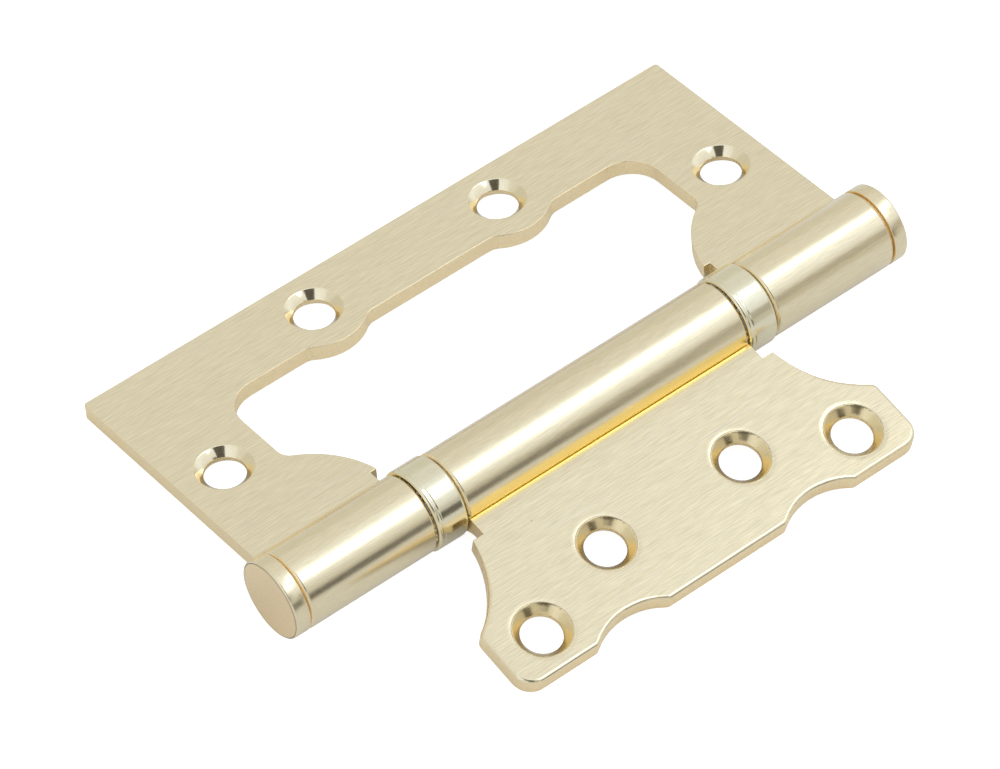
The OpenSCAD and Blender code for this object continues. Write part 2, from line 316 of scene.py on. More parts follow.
def plating(name, colour, roughness, streak, contrast, relief, pits=0.0, scratches=0.0,
            corner=None):
    """Plated or ground metal with fine streaks along the barrel.

    streak holds the length and the width of one streak, contrast the spread of its tones,
    relief its depth, pits the share of cells that hold a small dark speck, scratches how
    strongly long pale scratches show, and corner the leaf in whose corner by its knuckles a
    painted reflection and shade is laid over the tone.
    """
    material = bpy.data.materials.new(name)
    material.use_nodes = True
    material.node_tree.nodes.clear()
    tree = Tree(material.node_tree)
    place = tree.add("ShaderNodeTexCoord").outputs["Object"]

    def streaks(length, width, detail):
        scaled = tree.add("ShaderNodeMapping", Vector=place,
                          Scale=(1 / length, 1 / width, 1 / width)).outputs[0]
        return tree.add("ShaderNodeTexNoise", Vector=scaled, Scale=1.0, Detail=detail,
                        Roughness=NOISE_ROUGHNESS).outputs["Fac"]

    def laid_over(share, over):
        """The tone so far with another colour over a share of it."""
        return tree.add("ShaderNodeMix", {"data_type": "RGBA"}, in_0=share, in_6=tone,
                        in_7=over).outputs[2]

    length, width = streak
    fine = streaks(length, width, 2.0)
    broad = streaks(length * BROAD_LENGTH, width * BROAD_WIDTH, 2.0)
    mixed = tree.math("ADD", tree.math("MULTIPLY", fine, FINE_SHARE),
                      tree.math("MULTIPLY", broad, 1 - FINE_SHARE))
    tone = ramp(tree.add("ShaderNodeValToRGB", Fac=mixed), [
        (LOW, shade(colour, 1 - contrast)),
        ((LOW + HIGH) / 2, colour),
        (HIGH, shade(colour, 1 + contrast)),
    ], "LINEAR")
    if scratches:
        long = streaks(length * SCRATCH_LENGTH, width * SCRATCH_WIDTH, 1.0)
        drawn = tree.add("ShaderNodeMapRange", Value=long, From_Min=SCRATCH_STARTS,
                         From_Max=SCRATCH_FULL, To_Min=0.0, To_Max=scratches).outputs[0]
        tone = laid_over(drawn, SCRATCH_COLOUR)
    if pits:
        cells = tree.add("ShaderNodeTexVoronoi", {"feature": "F1"}, Vector=place,
                         Scale=1 / PIT_CELL)
        draw = tree.add("ShaderNodeSeparateColor", Color=cells.outputs["Color"]).outputs["Red"]
        chosen = tree.math("LESS_THAN", draw, pits)
        near = tree.math("LESS_THAN", cells.outputs["Distance"], PIT_R / PIT_CELL)
        tone = laid_over(tree.math("MULTIPLY", chosen, near), (*shade(colour, PIT_SHADE), 1))
    # Painted reflection and shade: the corner by the knuckles takes the bright gold on the smaller leaf and the
    # browner gold on the larger one.
    if corner:
        painted_corner_tone = finish().dull_plating if corner is LARGER else finish().bright_plating
        tone = laid_over(painted_corner_mask(tree, place, corner), (*painted_corner_tone, 1))
    gloss = tree.add("ShaderNodeMapRange", Value=mixed, From_Min=LOW, From_Max=HIGH,
                     To_Min=roughness * (1 - GLOSS_SPREAD),
                     To_Max=roughness * (1 + GLOSS_SPREAD)).outputs[0]
    bump = tree.add("ShaderNodeBump", Strength=1.0, Distance=relief, Height=mixed).outputs[0]
    metal = tree.add("ShaderNodeBsdfPrincipled", Base_Color=tone, Metallic=1.0,
                     Roughness=gloss, Normal=bump)
    tree.add("ShaderNodeOutputMaterial", Surface=metal.outputs[0])
    return material


# The painted reflection and shade in the corner between a leaf and its knuckles fades out
# over these distances from the seam on the leaf, and over these heights on the knuckles, as
# shares of their radius. It ends where a knuckle comes nearer to the pin than CORNER_REACH.
CORNER_ON_LEAF = (0.3 * MM, 1.0 * MM)
CORNER_ON_KNUCKLES = {"larger": (0.45, 0.85), "smaller": (0.47, 0.53)}
CORNER_REACH = 0.35 * KNUCKLE_R


def painted_corner_mask(tree, place, leaf):
    """How far a point lies in the corner between a leaf and its knuckles, from 0 to 1: where the painted
    reflection and shade lie.
    """
    from_pin = tree.add("ShaderNodeVectorMath", {"operation": "SUBTRACT"}, in_0=place,
                        in_1=PIN).outputs[0]
    out, above = (tree.add("ShaderNodeVectorMath", {"operation": "DOT_PRODUCT"}, in_0=from_pin,
                           in_1=way).outputs["Value"] for way in (leaf.out, leaf.up))

    def fades(value, full, none):
        return tree.add("ShaderNodeMapRange", {"interpolation_type": "SMOOTHSTEP"}, Value=value,
                        From_Min=full, From_Max=none, To_Min=1.0, To_Max=0.0).outputs[0]

    on_leaf = fades(out, *(leaf.seam() + past for past in CORNER_ON_LEAF))
    on_knuckle = fades(above, *(share * KNUCKLE_R for share in CORNER_ON_KNUCKLES[leaf.label]))
    in_front = tree.math("MULTIPLY", tree.math("GREATER_THAN", out, CORNER_REACH),
                         tree.math("GREATER_THAN", above, 0.0))
    return tree.math("MULTIPLY", tree.math("MULTIPLY", on_leaf, on_knuckle), in_front)


# Roughness of the larger leaf's countersinks, as a share of the smaller leaf's
LARGER_SINK_SHARE = 0.6


def make_materials():
    """Every finish of the hinge, by name."""
    look = finish()
    gold = tuple(look.plating)
    steel = tuple(look.steel)
    made = {
        "cap_side": plating(
            "cap_side", gold, roughness=0.25, streak=(0.6 * MM, 0.3 * MM),
            contrast=0.05, relief=0.002 * MM, pits=0.05),
        "cap_face": plating(
            "cap_face", tuple(look.cap_plating), roughness=0.32,
            streak=(0.25 * MM, 0.25 * MM), contrast=0.10, relief=0.004 * MM, pits=0.12),
        "shell": plating(
            "polished_shell", tuple(look.pale_plating), roughness=look.shell_roughness,
            streak=(1.2 * MM, 0.4 * MM), contrast=0.03, relief=0.001 * MM, pits=0.03),
        "steel": plating(
            "ground_steel", steel, roughness=0.3, streak=(0.3 * MM, 0.1 * MM),
            contrast=0.08, relief=0.002 * MM),
        "ball": plating(
            "ball_steel", steel, roughness=0.08, streak=(0.5 * MM, 0.5 * MM),
            contrast=0.02, relief=0.0),
    }
    # The smaller leaf's countersinks take the painted shade of deeper gold; the larger leaf's keep the plain gold.
    countersinks = ((LARGER, gold, LARGER_SINK_SHARE), (SMALLER, tuple(look.turned_plating), 1.0))
    for leaf, turned, share in countersinks:
        made[f"{leaf.label}_face"] = plating(
            f"{leaf.label}_brushed_face", gold, roughness=look.leaf_roughness,
            streak=(2.8 * MM, 0.09 * MM), contrast=0.13, relief=0.001 * MM, pits=0.02,
            scratches=0.3, corner=leaf)
        made[f"{leaf.label}_roll"] = plating(
            f"{leaf.label}_rolled_knuckle", gold, roughness=look.roll_roughness,
            streak=(2.0 * MM, 0.10 * MM), contrast=0.08, relief=0.001 * MM, pits=0.05,
            corner=leaf)
        made[f"{leaf.label}_cone"] = plating(
            f"{leaf.label}_countersink", turned, roughness=look.turned_roughness * share,
            streak=(0.5 * MM, 0.2 * MM), contrast=0.04, relief=0.001 * MM)
        made[f"{leaf.label}_wall"] = plating(
            f"{leaf.label}_punched_wall", tuple(look.wall_plating), roughness=0.4,
            streak=(0.25 * MM, 0.25 * MM), contrast=0.10, relief=0.01 * MM)
    return made


MATERIALS = {}


def finishes():
    """The hinge's materials, made once."""
    if not MATERIALS:
        MATERIALS.update(make_materials())
    return MATERIALS


# Points closer than this are one, in a CAD mesh and, below, in a turned section
WELD = 0.001 * MM
FINE_WELD = 0.0005 * MM

# Faces that turn less than this are one flat face, in a CAD mesh and in a carved one
FLAT_TURN = math.radians(0.5)
CARVED_TURN = math.radians(0.04)

# Edges that turn more than this are rounded, on a leaf and on a turned part
SHARP = math.radians(28)
TURNED_SHARP = math.radians(30)

# The steps across a rounded edge, and the weight at which the large faces alone set how
# an edge is shaded
EDGE_SEGMENTS = 3
FULL_WEIGHT = 100


def merged(node):
    """A copy of a CAD node's mesh with its triangles joined and its flat faces made whole."""
    mesh = bmesh.new()
    mesh.from_mesh(frame["nodes"][node].data)
    bmesh.ops.remove_doubles(mesh, verts=mesh.verts, dist=WELD)
    bmesh.ops.dissolve_limit(mesh, angle_limit=FLAT_TURN, verts=mesh.verts, edges=mesh.edges)
    mesh.normal_update()
    return mesh


def piece(mesh, name, slots):
    """Turns a finished bmesh into an object with its materials."""
    data = bpy.data.meshes.new(name)
    mesh.to_mesh(data)
    mesh.free()
    for key in slots:
        data.materials.append(finishes()[key])
    shown = bpy.data.objects.new(name, data)
    bpy.context.scene.collection.objects.link(shown)
    return shown


def rounded(shown, width):
    """Rounds the weighted edges of a piece, and leaves it a plain mesh."""
    bevel = shown.modifiers.new("punched edges", "BEVEL")
    bevel.limit_method = "WEIGHT"
    bevel.offset_type = "OFFSET"
    bevel.width = width
    bevel.segments = EDGE_SEGMENTS
    bevel.use_clamp_overlap = False
    bevel.loop_slide = False
    settle(shown)


def level_normals(shown):
    """Shades flat faces flat and lets only the narrow rounded edges turn."""
    shown.modifiers.new("flat faces", "WEIGHTED_NORMAL").weight = FULL_WEIGHT
    settle(shown)


def settle(shown):
    """Replaces a piece's mesh by its modified one and removes the modifiers."""
    graph = bpy.context.evaluated_depsgraph_get()
    made = bpy.data.meshes.new_from_object(shown.evaluated_get(graph))
    shown.modifiers.clear()
    shown.data = made


def belongs(shown, node, body):
    """Ties a piece to its body and hides the CAD node that it stands for."""
    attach(shown, body)
    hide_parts(node)


# How far a face looks along the pin: a knuckle's end does by more than the first, and
# a rolled face by less than the second
END_FACE = 0.7
ROLLED_FACE = 0.1

# How far a face looks out of the leaf: a flat one, and a countersink's least and most
FLAT_FACE = 0.98
SINK_FACE = (0.6, 0.8)

# The rolled strip ends within this distance from the pin
STRIP_REACH = 1.6 * KNUCKLE_R

# The wide roll-over of an outline grows between these distances from the pin
ROLL_OVER_STARTS = 1.8 * KNUCKLE_R
ROLL_OVER_FULL = 2.6 * KNUCKLE_R

# Points this near to a surface lie on it
NEAR = 0.05 * MM


def radial(point):
    """The part of a point's place that lies square to the pin."""
    away = point - PIN
    return away - ALONG * away.dot(ALONG)


def leaf_finish(leaf, face):
    """The finish of one face of a leaf: face, roll, cone or wall."""
    centre = face.calc_center_median()
    outward = face.normal.dot(leaf.up)
    if radial(centre).length < KNUCKLE_R + NEAR:
        return "wall" if abs(face.normal.x) > END_FACE else "roll"
    if abs(outward) > FLAT_FACE:
        return "face"
    sloped = SINK_FACE[0] < outward < SINK_FACE[1]
    if sloped and leaf.hole_distance(centre) < sizes().rim_r:
        return "cone"
    if leaf.reach(centre) < STRIP_REACH and abs(face.normal.x) < ROLLED_FACE:
        return "roll"
    return "wall"


def edge_radius(leaf, edge, outline_r):
    """How far one edge of a leaf is rounded."""
    middle = (edge.verts[0].co + edge.verts[1].co) / 2
    small = sizes().edge_round
    on_top = all(abs(leaf.height(vertex.co) - leaf.half_t) < NEAR for vertex in edge.verts)
    if not on_top or leaf.hole_distance(middle) < sizes().rim_r + NEAR:
        return small
    grown = (leaf.reach(middle) - ROLL_OVER_STARTS) / (ROLL_OVER_FULL - ROLL_OVER_STARTS)
    return small + (outline_r - small) * min(1.0, max(0.0, grown))


def dress_leaf(leaf, name, outline_r, pressed=False):
    """One leaf with its knuckles, its punched edges rounded and its finishes laid on. A
    pressed one also has its sunken rings and the hollow where its rolled strip ends."""
    keys = ("face", "roll", "cone", "wall")
    mesh = merged(leaf.node)
    for face in mesh.faces:
        face.material_index = keys.index(leaf_finish(leaf, face))
    shown = piece(mesh, name, [f"{leaf.label}_{key}" for key in keys])
    if pressed:
        carve(shown, sinks(leaf))
        carve(shown, root_cutter(leaf, keys))
    weigh_edges(shown, leaf, outline_r)
    rounded(shown, max(outline_r, sizes().edge_round))
    level_normals(shown)
    belongs(shown, leaf.node, leaf.body)


def weigh_edges(shown, leaf, outline_r):
    """Marks how far each sharp edge of a leaf is rounded, as a share of the widest."""
    mesh = bmesh.new()
    mesh.from_mesh(shown.data)
    bmesh.ops.dissolve_limit(mesh, angle_limit=CARVED_TURN, verts=mesh.verts,
                             edges=mesh.edges)
    weight = mesh.edges.layers.float.new("bevel_weight_edge")
    widest = max(outline_r, sizes().edge_round)
    for edge in mesh.edges:
        if edge.is_manifold and edge.calc_face_angle() > SHARP:
            edge[weight] = edge_radius(leaf, edge, outline_r) / widest
    for face in mesh.faces:
        face.smooth = True
    mesh.to_mesh(shown.data)
    mesh.free()


def carve(shown, cutter):
    """Takes a cutter's volume away from a piece, and removes the cutter."""
    cut = shown.modifiers.new("carve", "BOOLEAN")
    cut.operation = "DIFFERENCE"
    cut.solver = "EXACT"
    cut.object = cutter
    settle(shown)
    bpy.data.objects.remove(cutter)


def half_length(leaf):
    """Half the length of a leaf along the barrel, and a little more."""
    return max(abs(vertex.co.x) for vertex in frame["nodes"][leaf.node].data.vertices) + MM


# The hollow's slope and the rounding of the strip's end are made of this many steps, and
# the slope steepens towards the knuckle by this power
ROOT_STEPS = 12
STRIP_STEPS = 8
ROOT_POWER = 1.8

# The slit's opening over the hollow's floor, its floor's further drop, where that drop
# ends and where the slit itself does, both measured from the seam towards the pin
SLIT_OPENING = 0.03 * MM
SLIT_DROP = 0.05 * MM
SLIT_DROP_REACH = 0.3 * MM
SLIT_REACH = 0.8 * MM

# How far the cutter stands over the leaf, how far it starts past the seam there, and how
# little it stands proud of the leaf and of the knuckle where it leaves them
CUTTER_RISE = 0.25 * MM
CUTTER_PAST = 0.1 * MM
PROUD_OF_LEAF = 0.001 * MM
PROUD_OF_KNUCKLE = 0.002 * MM


def root_profile(leaf):
    """The section of the root's cutter: distances from the pin along the leaf and square
    to it. Its first points, ROOT_STEPS + 1 of them, are the slope of the hollow."""
    width, depth, turn = sizes().root_w, sizes().root_depth, sizes().strip_round
    top, seam = leaf.half_t, leaf.seam()
    floor = top - depth
    slit = floor + SLIT_OPENING
    profile = []
    for step in range(ROOT_STEPS + 1):
        sunk = step / ROOT_STEPS
        profile.append((seam + width * (1 - sunk),
                        top + PROUD_OF_LEAF - depth * sunk ** ROOT_POWER))
    profile += [(seam - SLIT_DROP_REACH, floor - SLIT_DROP),
                (seam - SLIT_REACH, floor - SLIT_DROP), (seam - SLIT_REACH, slit)]
    centre_out = math.sqrt((KNUCKLE_R - turn) ** 2 - (slit + turn) ** 2)
    last = math.atan2(slit + turn, centre_out)
    for step in range(STRIP_STEPS + 1):
        angle = -math.pi / 2 + (last + math.pi / 2) * step / STRIP_STEPS
        reach = turn + (PROUD_OF_KNUCKLE if step == STRIP_STEPS else 0)
        profile.append((centre_out + reach * math.cos(angle),
                        slit + turn + reach * math.sin(angle)))
    profile += [(seam + CUTTER_PAST, top + CUTTER_RISE), (seam + width, top + CUTTER_RISE)]
    return profile


def root_cutter(leaf, keys):
    """The volume to take away where a leaf meets its knuckles: a shallow hollow in the
    leaf, and the slit under the rounded end of the rolled strip."""
    profile = root_profile(leaf)
    mesh = bmesh.new()
    half = half_length(leaf)
    ends = [[mesh.verts.new(PIN + side * half * ALONG + leaf.out * out + leaf.up * up)
             for out, up in profile] for side in (-1, 1)]
    count = len(profile)
    mesh.faces.new(ends[0])
    mesh.faces.new(list(reversed(ends[1])))
    for place in range(count):
        after = (place + 1) % count
        wall = mesh.faces.new((ends[0][place], ends[0][after], ends[1][after], ends[1][place]))
        wall.material_index = keys.index("face" if place < ROOT_STEPS else "roll")
    bmesh.ops.recalc_face_normals(mesh, faces=mesh.faces)
    data = bpy.data.meshes.new("root_cutter")
    mesh.to_mesh(data)
    mesh.free()
    cutter = bpy.data.objects.new("root_cutter", data)
    bpy.context.scene.collection.objects.link(cutter)
    return cutter


# The steps round a ring and round its section, the power by which the ring sinks towards
# the hole, how far the cutter runs over the hole and rises over the leaf, how little it
# stands proud of the leaf at its outer edge, and how deep the circle's points are from
# which the floor is made
SINK_STEPS = 72
SINK_SECTION_STEPS = 24
SINK_POWER = 2.0
SINK_OVER_HOLE = 0.25 * MM
SINK_RISE = 0.3 * MM
SINK_PROUD = 0.0003 * MM
SINK_FLOOR = 0.001


def sink_tree():
    """Geometry nodes that put a ring-shaped cutter at every point they are given. Its
    section starts as a circle of radius 1, whose X points away from the hole and whose Y
    points down into the leaf. The lower half is bent to the ring's floor, and the upper
    half to the cutter's lid."""
    group = bpy.data.node_groups.new("countersink_sinks", "GeometryNodeTree")
    group.interface.new_socket("Geometry", in_out="INPUT", socket_type="NodeSocketGeometry")
    for name in ("Radius", "Width", "Depth"):
        group.interface.new_socket(name, in_out="INPUT", socket_type="NodeSocketFloat")
    group.interface.new_socket("Turn", in_out="INPUT", socket_type="NodeSocketVector")
    group.interface.new_socket("Finish", in_out="INPUT", socket_type="NodeSocketMaterial")
    group.interface.new_socket("Geometry", in_out="OUTPUT", socket_type="NodeSocketGeometry")
    tree = Tree(group)
    given = tree.add("NodeGroupInput").outputs

    def halved(operation):
        """Half of the ring's width with the run over the hole added or taken away."""
        return tree.math("MULTIPLY", tree.math(operation, given["Width"], SINK_OVER_HOLE), 0.5)

    ring = tree.add("GeometryNodeCurvePrimitiveCircle", Resolution=SINK_STEPS,
                    Radius=tree.math("ADD", given["Radius"], halved("SUBTRACT")))
    half = halved("ADD")
    circle = tree.add("GeometryNodeCurvePrimitiveCircle", Resolution=SINK_SECTION_STEPS,
                      Radius=1.0)
    at = tree.add("ShaderNodeSeparateXYZ",
                  Vector=tree.add("GeometryNodeInputPosition").outputs[0])
    across, below = at.outputs[0], at.outputs[1]
    from_edge = tree.math("MULTIPLY", tree.math("SUBTRACT", 1.0, across), half)
    share = tree.math("DIVIDE", from_edge, given["Width"])
    sunk = tree.math("MULTIPLY", tree.math("POWER", share, SINK_POWER), given["Depth"])
    lid = tree.math("MULTIPLY", below, SINK_RISE)
    is_floor = tree.math("GREATER_THAN", below, SINK_FLOOR)
    is_lid = tree.math("SUBTRACT", 1.0, is_floor)
    picked = tree.math("ADD", tree.math("MULTIPLY", is_floor, sunk),
                       tree.math("MULTIPLY", is_lid, lid))
    moved = tree.add("ShaderNodeCombineXYZ", X=tree.math("MULTIPLY", across, half),
                     Y=tree.math("SUBTRACT", picked, SINK_PROUD), Z=0.0)
    profile = tree.add("GeometryNodeSetPosition", Geometry=circle.outputs[0],
                       Position=moved.outputs[0])
    cutter = tree.add("GeometryNodeCurveToMesh", Curve=ring.outputs[0],
                      Profile_Curve=profile.outputs[0])
    placed = tree.add("GeometryNodeInstanceOnPoints", Points=given["Geometry"],
                      Instance=cutter.outputs[0], Rotation=given["Turn"])
    real = tree.add("GeometryNodeRealizeInstances", Geometry=placed.outputs[0])
    dressed = tree.add("GeometryNodeSetMaterial", Geometry=real.outputs[0],
                       Material=given["Finish"])
    tree.add("NodeGroupOutput", Geometry=dressed.outputs[0])
    return group


def run_tree(group, points, **values):
    """Runs a geometry node tree on bare points and gives the mesh that it makes."""
    seeds = bpy.data.meshes.new("seeds")
    seeds.from_pydata(points, [], [])
    carrier = bpy.data.objects.new("carrier", seeds)
    bpy.context.scene.collection.objects.link(carrier)
    made = carrier.modifiers.new("tree", "NODES")
    made.node_group = group
    for item in group.interface.items_tree:
        if item.in_out == "INPUT" and item.name in values:
            made[item.identifier] = values[item.name]
    graph = bpy.context.evaluated_depsgraph_get()
    mesh = bpy.data.meshes.new_from_object(carrier.evaluated_get(graph))
    bpy.data.objects.remove(carrier)
    return mesh


def sinks(leaf):
    """The cutters for the shallow sunken rings round a leaf's countersinks."""
    turn = leaf.up.to_track_quat("Z", "Y").to_euler()
    rings = run_tree(
        bpy.data.node_groups.get("countersink_sinks") or sink_tree(),
        leaf.holes,
        Radius=sizes().rim_r,
        Width=sizes().sink_w,
        Depth=sizes().sink_depth,
        Turn=tuple(turn),
        Finish=finishes()[f"{leaf.label}_face"],
    )
    cutter = bpy.data.objects.new("sinks", rings)
    bpy.context.scene.collection.objects.link(cutter)
    return cutter


def section(node):
    """The outline of a turned part on one side of the pin's axis, as a bmesh of edges.
    The first cut gives it its points on the axis, and the second the outline itself."""
    mesh = bmesh.new()
    mesh.from_mesh(frame["nodes"][node].data)
    bmesh.ops.remove_doubles(mesh, verts=mesh.verts, dist=WELD)
    widest = max(mesh.verts, key=lambda vertex: radial(vertex.co).length)
    away = radial(widest.co).normalized()
    for across in (away, away.cross(ALONG)):
        cut = bmesh.ops.bisect_plane(mesh, geom=[*mesh.verts, *mesh.edges, *mesh.faces],
                                     plane_co=PIN, plane_no=across, dist=FINE_WELD)
    kept = {item for item in cut["geom_cut"] if isinstance(item, bmesh.types.BMEdge)
            and all((vertex.co - PIN).dot(away) > -WELD for vertex in item.verts)}
    bmesh.ops.delete(mesh, geom=mesh.faces[:], context="FACES_ONLY")
    bmesh.ops.delete(mesh, geom=[edge for edge in mesh.edges if edge not in kept],
                     context="EDGES")
    bmesh.ops.delete(mesh, geom=[vertex for vertex in mesh.verts if not vertex.link_edges],
                     context="VERTS")
    return mesh


# The steps round a turned part, and how far its end faces look along the pin
TURN_STEPS = 144
TURNED_END = 0.9


def dress_turned(node, name, keys, body, width):
    """A turned part, spun from its own section, with its corners rounded. The finishes
    are the part's own and, where there is a second one, its end face's."""
    mesh = section(node)
    bmesh.ops.spin(mesh, geom=[*mesh.verts, *mesh.edges], cent=PIN, axis=ALONG,
                   angle=2 * math.pi, steps=TURN_STEPS, use_merge=True, use_duplicate=False)
    bmesh.ops.remove_doubles(mesh, verts=mesh.verts, dist=FINE_WELD)
    bmesh.ops.recalc_face_normals(mesh, faces=mesh.faces)
    weight = mesh.edges.layers.float.new("bevel_weight_edge")
    for edge in mesh.edges:
        if edge.is_manifold and edge.calc_face_angle() > TURNED_SHARP:
            edge[weight] = 1.0
    for face in mesh.faces:
        face.smooth = True
        if len(keys) > 1 and abs(face.normal.x) > TURNED_END:
            face.material_index = 1
    shown = piece(mesh, name, keys)
    rounded(shown, width)
    level_normals(shown)
    belongs(shown, node, body)


def body_of(node):
    """The body that a CAD node moves with."""
    bodies = frame["record"]["behaviour"]["bodies"]
    return next(body for body, members in bodies.items() if node in members)


class HINGE_OT_larger_leaf(Operator):
    """Dress the larger leaf, with its window and its two end knuckles"""

    bl_idname = "hinge.larger_leaf"
    bl_label = "Larger Leaf"

    def execute(self, context):
        dress_leaf(LARGER, "larger_leaf_plate", sizes().edge_round)
        return {"FINISHED"}


class HINGE_OT_smaller_leaf(Operator):
    """Dress the smaller leaf, with its middle knuckle"""

    bl_idname = "hinge.smaller_leaf"
    bl_label = "Smaller Leaf"

    def execute(self, context):
        dress_leaf(SMALLER, "smaller_leaf_plate", sizes().roll_over,
                   pressed=True)
        return {"FINISHED"}


class HINGE_OT_end_caps(Operator):
    """Dress the two turned caps that close the barrel"""

    bl_idname = "hinge.end_caps"
    bl_label = "End Caps"

    def execute(self, context):
        for side in ("left", "right"):
            node = f"{side}_end_cap"
            dress_turned(node, f"{side}_cap", ("cap_side", "cap_face"), body_of(node),
                         sizes().turned_round)
        return {"FINISHED"}


class HINGE_OT_bearing_shells(Operator):
    """Dress the two polished shells that hold the ball bearings"""

    bl_idname = "hinge.bearing_shells"
    bl_label = "Bearing Shells"

    def execute(self, context):
        for side in ("left", "right"):
            node = f"{side}_bearing_shell"
            dress_turned(node, f"{side}_shell", ("shell",), body_of(node),
                         sizes().turned_round)
        return {"FINISHED"}


def repaint(shown, key):
    """Gives a CAD node, whose shape stays as it is, another finish."""
    shown.material_slots[0].link = "OBJECT"
    shown.material_slots[0].material = finishes()[key]


class HINGE_OT_steel_parts(Operator):
    """Give the pin, the races and the balls their steel"""

    bl_idname = "hinge.steel_parts"
    bl_label = "Pin, Races and Balls"

    def execute(self, context):
        for node, shown in frame["nodes"].items():
            if node == "hinge_pin" or node.endswith("_race"):
                repaint(shown, "steel")
            if node.endswith("_balls"):
                repaint(shown, "ball")
        return {"FINISHED"}


# Where the camera stands: its turn and its height over the barrel, both as angles, its
# distance, and how far it moves right and up so that the hinge lies as in the photograph
VIEW_AZIMUTH = math.radians(-38.94)
VIEW_ELEVATION = math.radians(49.72)
VIEW_DISTANCE = 756.75 * MM
VIEW_RIGHT = -11.10 * MM
VIEW_UP = 2.79 * MM
SENSOR_MM = 36
CLIP_START = 0.01

# The studio's own directions on the floor: to the camera's right and away from the camera
RIGHT = Vector((math.cos(VIEW_AZIMUTH), math.sin(VIEW_AZIMUTH), 0))
AWAY = Vector((-math.sin(VIEW_AZIMUTH), math.cos(VIEW_AZIMUTH), 0))


def place_camera():
    """Stands the camera at the photograph's angle, aimed beside the middle of the barrel."""
    back = Vector((0, 0, math.sin(VIEW_ELEVATION))) - AWAY * math.cos(VIEW_ELEVATION)
    upward = back.cross(RIGHT)
    lens = bpy.data.cameras.new("camera")
    lens.lens = studio().lens
    lens.sensor_width = SENSOR_MM
    lens.clip_start = CLIP_START
    camera = bpy.data.objects.new("camera", lens)
    camera.matrix_world = Matrix.Translation(
        PIN + RIGHT * VIEW_RIGHT + upward * VIEW_UP + back * VIEW_DISTANCE
    ) @ Matrix((RIGHT, upward, back)).transposed().to_4x4()
    bpy.context.scene.collection.objects.link(camera)
    bpy.context.scene.camera = camera


def quad(name, corners, material):
    """A flat stage piece between four corners."""
    mesh = bpy.data.meshes.new(name)
    mesh.from_pydata(corners, [], [(0, 1, 2, 3)])
    mesh.materials.append(material)
    shown = bpy.data.objects.new(name, mesh)
    bpy.context.scene.collection.objects.link(shown)
    return shown


# The floor reaches this far to each side, and its paint is this grey
FLOOR_REACH = 3.0
FLOOR_PAINT = 0.6


def floor_material():
    """White to the camera, pale to the metal, and a plain diffuse floor to all else."""
    material = bpy.data.materials.new("studio_floor")
    material.use_nodes = True
    material.node_tree.nodes.clear()
    tree = Tree(material.node_tree)
    ray = tree.add("ShaderNodeLightPath").outputs
    seen = tree.math("MULTIPLY", ray["Is Camera Ray"], studio().floor_glow)
    by_metal = tree.math("MAXIMUM", ray["Is Glossy Ray"], ray["Is Transmission Ray"])
    mirrored = tree.math("MULTIPLY", by_metal, studio().floor_shine)
    glow = tree.add("ShaderNodeEmission", Strength=tree.math("ADD", seen, mirrored))
    paint = tree.add("ShaderNodeBsdfDiffuse", Color=(FLOOR_PAINT, FLOOR_PAINT, FLOOR_PAINT, 1))
    both = tree.add("ShaderNodeAddShader", in_0=glow.outputs[0], in_1=paint.outputs[0])
    tree.add("ShaderNodeOutputMaterial", Surface=both.outputs[0])
    return material


# Bounces after which a ray has met the metal twice, counted at a mesh and in the room
CARD_BOUNCES = 1.5
ROOM_BOUNCES = 2.5


def many_bounces(tree, past):
    """1 where the metal is seen in the metal, else 0."""
    ray = tree.add("ShaderNodeLightPath").outputs
    return tree.math("MULTIPLY", tree.math("GREATER_THAN", ray["Ray Depth"], past),
                     ray["Is Glossy Ray"])


def card_material(name, grey):
    """A plain grey card, as bright as the room where the metal is seen in the metal."""
    material = bpy.data.materials.new(name)
    material.use_nodes = True
    material.node_tree.nodes.clear()
    tree = Tree(material.node_tree)
    brighter = studio().inner_glow - grey
    glow = tree.add("ShaderNodeEmission", Strength=tree.math(
        "MULTIPLY_ADD", many_bounces(tree, CARD_BOUNCES), brighter, grey))
    tree.add("ShaderNodeOutputMaterial", Surface=glow.outputs[0])
    material.cycles.emission_sampling = "NONE"
    return material


# Brightness of the room by the angle round the barrel: 0 is the front horizon, 90
# overhead. A colour ramp ends at 1, so it holds the tones as shares of ROOM_TOP.
ROOM = ((-180, 0.74), (-90, 0.70), (-10, 0.70), (8, 0.70), (30, 0.84), (45, 0.98), (58, 1.08),
        (95, 1.0), (108, 0.87), (124, 0.85), (137, 0.85), (152, 0.75), (180, 0.74))
ROOM_TOP = 2.0

# Over these brightnesses the room's green and its blue gain on its red, by these rates
GREEN_GAIN = (0.62, 0.22)
BLUE_GAIN = (0.70, 0.9)


def cooled(value):
    """The room's colour at one brightness: neutral where it is dim, cooler where bright."""
    green, blue = (value * (1 + rate * (value - start)) for start, rate in (GREEN_GAIN, BLUE_GAIN))
    return value, green, blue


